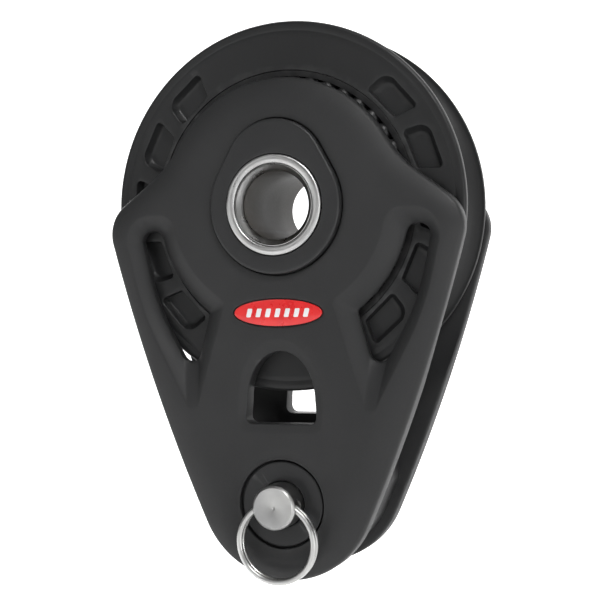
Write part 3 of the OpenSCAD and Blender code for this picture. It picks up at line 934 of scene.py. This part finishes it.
def sheave():
    """Both flanges, the rims and the rope groove, and the stepped bore with the seats of the ball races."""
    n = 288
    shape = Shape()
    borders = {s: flange(shape, s, n) for s in (1, -1)}
    bore_r, hub_h = WASHER_R + 0.3, 11.0
    seat_r, seat_in = RING_RACE_R + 0.06, RING_RACE_R - RING_RACE_W - 0.06
    steps = soft([(seat_r, SHEAVE_H), (seat_r, RING_RACE_FLOOR), (seat_in, RING_RACE_FLOOR),
                  (seat_in, hub_h), (bore_r, hub_h), (bore_r, 0)], 0.25, closed=False)[1:]
    rim = [(48.6, 12.0), (49.1, 11.95), (49.5, 11.8), (49.8, 11.5), (49.95, 11.1), (50.0, 10.7), (50.0, 10.2),
           (49.94, 9.95), (49.8, 9.78)]
    lowest = math.degrees(math.asin(rim[-1][1] / GROOVE_R))
    groove = [(GROOVE_C - GROOVE_R * math.cos(math.radians(a)), GROOVE_R * math.sin(math.radians(a)))
              for a in np.linspace(lowest, -lowest, 41)]
    groove = [(r, h) for r, h in groove if r < rim[-1][0] - 0.1]
    inner, outer = borders[1]
    last = shape.strips(circles(rim + groove + mirrored(rim), n), outer)
    shape.skin(last, borders[-1][1])
    last = shape.strips(circles(steps + mirrored(steps[:-1]), n), inner)
    shape.skin(last, borders[-1][0])
    return build("sheave_moulded", shape, -1, SHEAVE, "sheave", ["sheave"], sharp=36)


# ------------------------ head: bushes, pin, ring, screws, labels

def head_bush(name, side, node):
    """A flanged disc with the pin's bore."""
    profile = [(PIN_R + 0.05, THROAT_H), (PIN_R + 0.05, BUSH_FACE - 0.5), (PIN_R + 0.45, BUSH_FACE - 0.12),
               (PIN_R + 1.2, BUSH_FACE - 0.02), (BUSH_R - 0.5, BUSH_FACE), (BUSH_R - 0.12, BUSH_FACE - 0.18),
               (BUSH_R, BUSH_FACE - 0.6), (BUSH_R, THROAT_H)]
    return turned(name, profile, side, BUSH, node, 0.25, (0, PIN_Z))


def head_pin():
    """A stepless shank with a chamfered front end, a centre mark, a cross hole and a flat rear head."""
    c, n = (0, PIN_Z), 128
    head_t = 3.0
    front = [(0.0, 0.45), (0.3, 0.3), (0.55, 0.08), (0.8, 0.0), (PIN_R - 0.75, 0.0), (PIN_R - 0.2, 0.5),
             (PIN_R - 0.05, 0.75), (PIN_R, 1.1)]
    rear = [(PIN_R, PIN_REAR - head_t), (PIN_HEAD_R - 0.6, PIN_REAR - head_t),
            (PIN_HEAD_R, PIN_REAR - head_t + 0.5), (PIN_HEAD_R, PIN_REAR - 0.8),
            (PIN_HEAD_R - 0.3, PIN_REAR - 0.25), (PIN_HEAD_R - 1, PIN_REAR)]
    profile = [(r, PIN_FRONT - d) for r, d in front[1:]] + [(r, -h) for r, h in soft(rear, 0.2, closed=False)]
    shape = Shape()
    rings = revolve(shape, profile, n, c, closed=False)
    shape.cap(rings[0], PIN_FRONT - front[0][1])
    shape.cap(rings[-1])
    blank = build("temporary_pin", shape, -1, TURNED, "head_pin")
    hole = (RING_LOW[1] + RING_HIGH[1]) / 2
    bpy.ops.mesh.primitive_cylinder_add(vertices=64, radius=2.1 * MM, depth=0.03,
                                        rotation=(0, math.pi / 2, 0),
                                        location=(0, hole * MM, PIN_Z * MM))
    drill = bpy.context.object
    blank.parent = None
    mesh = carve(blank, [drill], 0.22, 50)
    mesh.name = "head_pin_turned"
    mesh.materials.clear()
    return finish_piece("head_pin_turned", mesh, TURNED, "head_pin", ["head_pin"], 32)


def split_ring():
    """Wire wound twice round, crossing from one layer to the other where its two ends meet it."""
    middle = (RING_LOW + RING_HIGH) / 2
    wire_r = (RING_HIGH[1] - RING_LOW[1]) / 4
    mid_r = (RING_HIGH[0] - RING_LOW[0]) / 2 - wire_r
    layer = (RING_HIGH[1] - RING_LOW[1]) / 2 - wire_r
    gap, cross_at, around = 12, 90, 20
    turns = np.radians(np.arange(gap, 720 - gap + 0.1, 3.0))
    shape = Shape()
    last = None
    for t in turns:
        s = np.clip((math.degrees(t) - (360 - gap)) / (2 * gap), 0, 1)
        h = -middle[1] + layer * (1 - 2 * s * s * (3 - 2 * s))
        a = t + math.radians(cross_at)
        out = np.array([math.cos(a), math.sin(a)])
        now = []
        for k in range(around):
            b = 2 * math.pi * k / around
            p = np.array([middle[0], middle[2]]) + out * (mid_r + wire_r * math.cos(b))
            shape.points.append((float(p[0]), float(p[1]), float(h + wire_r * math.sin(b))))
            now.append(len(shape.points) - 1)
        if last is None:
            shape.cap(now)
        else:
            shape.skin(last, now)
        last = now
    shape.cap(last)
    return build("split_ring_wire", shape, -1, WIRE, "split_ring", ["split_ring"], 50)


def head_screws():
    """Two cap screws with a rounded head and a hexagonal socket."""
    meshes = []
    for s in (1, -1):
        c, top = (s * SCREW_X, SCREW_Z), SCREW_HIGH[1]
        shape = Shape()
        profile = [(0.4, -9.0), (1.6, -9.0), (2.0, -8.5), (2.0, SCREW_SEAT), (3.3, SCREW_SEAT),
                   (3.6, SCREW_SEAT + 0.3), (3.6, top - 0.7), (3.35, top - 0.2), (2.9, top), (0.4, top)]
        rings = revolve(shape, soft(profile, 0.15, closed=False), 72, c, closed=False)
        shape.cap(rings[0])
        shape.cap(rings[-1])
        blank = build("temporary_screw", shape, 1, SCREW, "frame")
        blank.parent = None
        socket = solid(circle(c, 1.55, 6), -(top - 1.4), -(top + 2))
        meshes.append(carve(blank, [socket], 0.12, 45))
    join(meshes[0], meshes[1:])
    meshes[0].materials.clear()
    return finish_piece("head_screws_turned", meshes[0], SCREW, "frame", ["head_screws"], 40)


def label(name, side, node):
    """A domed oval with a plain row of slanted bars."""
    n = 128
    middle, half = (LABEL_LOW + LABEL_HIGH) / 2, (LABEL_HIGH - LABEL_LOW) / 2
    base, top = -LABEL_HIGH[1], -LABEL_LOW[1]
    def oval(share):
        return arc((0, middle[2]), half[0] * share, 90, 90 - 360 * (n - 1) / n, n - 1, half[2] * share)
    def dome(share):
        return top - 0.12 * share ** 4
    shares = (0.985, 0.96, 0.9, 0.8, 0.65, 0.45, 0.25, 0.1)
    shape = Shape()
    lowest = shape.loop(oval(0.995), base)
    last = shape.strips([(oval(1), base + 0.1), (oval(1), top - 0.32), (oval(0.996), top - 0.2)]
                        + [(oval(share), dome(share)) for share in shares], lowest)
    shape.cap(last, top)
    shape.cap(lowest)
    build(name, shape, side, LABEL, "frame", [node])
    bars = Shape()
    count, pitch, width, tall, slant = 7, 2.7, 1.35, 2.3, 0.6
    for k in range(count):
        x = (k - (count - 1) / 2) * pitch
        corners = [(x + (across * width + up * slant) / 2, middle[2] + up * tall / 2)
                   for across, up in ((-1, -1), (-1, 1), (1, 1), (1, -1))]
        flat = rounded(corners, [0.25] * 4, 4)
        share = np.hypot(flat[:, 0] / half[0], (flat[:, 1] - middle[2]) / half[2])
        under = bars.loop(flat, dome(share) - 0.06)
        over = bars.strips([(flat, dome(share) + 0.01), (offset(flat, -0.04), dome(share) + 0.025)], under)
        bars.cap(over)
        bars.cap(under)
    build(name.replace("label", "label_bars"), bars, side, MARK, "frame")


def put_on(node, material):
    """Gives a CAD node its finish."""
    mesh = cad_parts[node].data
    mesh.materials.clear()
    mesh.materials.append(material)


cheek("front_cheek_moulded", -1, "front_cheek")
cheek("rear_cheek_moulded", 1, "rear_cheek")
for word, side in (("front", -1), ("rear", 1)):
    hub_plate(word + "_hub_plate_moulded", side, word + "_hub_plate")
    collar(word + "_core_collar_turned", side, word + "_core_collar")
    ball_race(word + "_ball_race_turned", side, word + "_ball_race")
    balls(word + "_side_balls_set", side, word + "_side_balls", word + "_balls")
    head_bush(word + "_head_bush_turned", side, word + "_head_bush")
    label(word + "_label_domed", side, word + "_label")
    washer = [(RACE_R + 0.05, WASHER_IN), (RACE_R + 0.05, WASHER_OUT), (WASHER_R, WASHER_OUT),
              (WASHER_R, WASHER_IN)]
    turned(word + "_bearing_washer_turned", washer, side, WASHER, word + "_bearing_washer", 0.2)
core_tube()
turned("inner_race_turned",
       [(CORE_R + 0.05, -RACE_H), (CORE_R + 0.05, RACE_H), (RACE_R, RACE_H), (RACE_R, -RACE_H)],
       -1, RACE_STEEL, "inner_race", 0.4)
rollers()
put_on("roller_cage", CAGE)
sheave()
head_pin()
split_ring()
head_screws()


# ------------------------ studio

def backdrop():
    """A pale floor that sweeps up behind the object, and glows more the farther it is from it."""
    floor_z, reach, back_y, r = min(cad_box[0][2], 0) - 0.14, 3.0, 1.1, 0.5
    profile = [(-reach, floor_z), (back_y - r, floor_z)]
    profile += [(back_y - r + r * math.sin(a), floor_z + r - r * math.cos(a))
                for a in np.radians(np.linspace(6, 90, 15))]
    profile += [(back_y, floor_z + 3)]
    points = [(x, y, z) for y, z in profile for x in (-reach, reach)]
    faces = [(2 * i, 2 * i + 1, 2 * i + 3, 2 * i + 2) for i in range(len(profile) - 1)]
    mesh = bpy.data.meshes.new("backdrop")
    mesh.from_pydata(points, [], faces)
    mesh.shade_smooth()
    sweep = bpy.data.objects.new("backdrop", mesh)
    bpy.context.scene.collection.objects.link(sweep)
    n = Nodes("backdrop_paper").set(specular=0.2)
    n.link(n.mix(n.noise(3, 2), (0.86, 0.86, 0.86), (0.9, 0.9, 0.9)), n.shader.inputs["Base Color"])
    n.shader.inputs["Roughness"].default_value = 0.9
    n.shader.inputs["Emission Color"].default_value = (1, 1, 1, 1)
    away = n.add("ShaderNodeVectorMath", operation="LENGTH")
    n.link(n.place, away.inputs[0])
    near, far, dim, full = 0.35, 1.05, 0.4, 1.0
    n.link(n.ramp(away.outputs["Value"], near, far, dim, full), n.shader.inputs["Emission Strength"])
    mesh.materials.append(n.material)


def soft_light(name, place, size, power, target=(0, 0, -0.02), spread=180):
    data = bpy.data.lights.new(name, "AREA")
    data.shape, data.size, data.energy, data.spread = "DISK", size, power, math.radians(spread)
    lamp = bpy.data.objects.new(name, data)
    bpy.context.scene.collection.objects.link(lamp)
    lamp.location = place
    lamp.rotation_euler = (Vector(target) - Vector(place)).to_track_quat("-Z", "Y").to_euler()


def studio_world(strength):
    """Weak even light from everywhere, which the camera itself sees as white."""
    world = bpy.data.worlds.new("studio")
    world.use_nodes = True
    tree = world.node_tree
    seen = tree.nodes.new("ShaderNodeMapRange")
    seen.inputs["To Min"].default_value = strength
    seen.inputs["To Max"].default_value = 1.0
    path = tree.nodes.new("ShaderNodeLightPath")
    tree.links.new(path.outputs["Is Camera Ray"], seen.inputs["Value"])
    tree.links.new(seen.outputs["Result"], tree.nodes["Background"].inputs["Strength"])
    tree.nodes["Background"].inputs["Color"].default_value = (1, 1, 1, 1)
    bpy.context.scene.world = world


def camera():
    """The camera stands to the right of the front, level with the middle of the cheeks."""
    azimuth, elevation, roll = math.radians(20.34), math.radians(0.68), math.radians(-1.02)
    distance, lens = 0.38195, 82.27
    target = Vector((-0.00054, 0, -0.02553))
    back = Vector((math.sin(azimuth) * math.cos(elevation), -math.cos(azimuth) * math.cos(elevation),
                   math.sin(elevation)))
    right = Vector((math.cos(azimuth), math.sin(azimuth), 0))
    up = back.cross(right)
    x = right * math.cos(roll) + up * math.sin(roll)
    y = up * math.cos(roll) - right * math.sin(roll)
    data = bpy.data.cameras.new("camera")
    data.lens, data.sensor_width = lens, 36
    data.clip_start, data.clip_end = 0.01, 20
    eye = bpy.data.objects.new("camera", data)
    bpy.context.scene.collection.objects.link(eye)
    eye.matrix_world = Matrix.Translation(target + back * distance) @ Matrix(
        [(x[i], y[i], back[i]) for i in range(3)]).to_4x4()
    bpy.context.scene.camera = eye


backdrop()
soft_light("key", (0.33, -0.42, 0.6), 0.4, 0.23, (0, 0, 0.055), 32)
soft_light("fill", (-0.6, -0.9, 0.35), 0.6, 0.8)
soft_light("side", (0.8, -0.5, -0.05), 0.3, 1.0)
soft_light("rim", (0.6, 0.45, 0.4), 0.4, 0.6)
soft_light("rear_fill", (-0.5, 0.6, 0.5), 0.5, 5)
studio_world(0.16)
bpy.context.scene.view_settings.view_transform = "Standard"
camera()
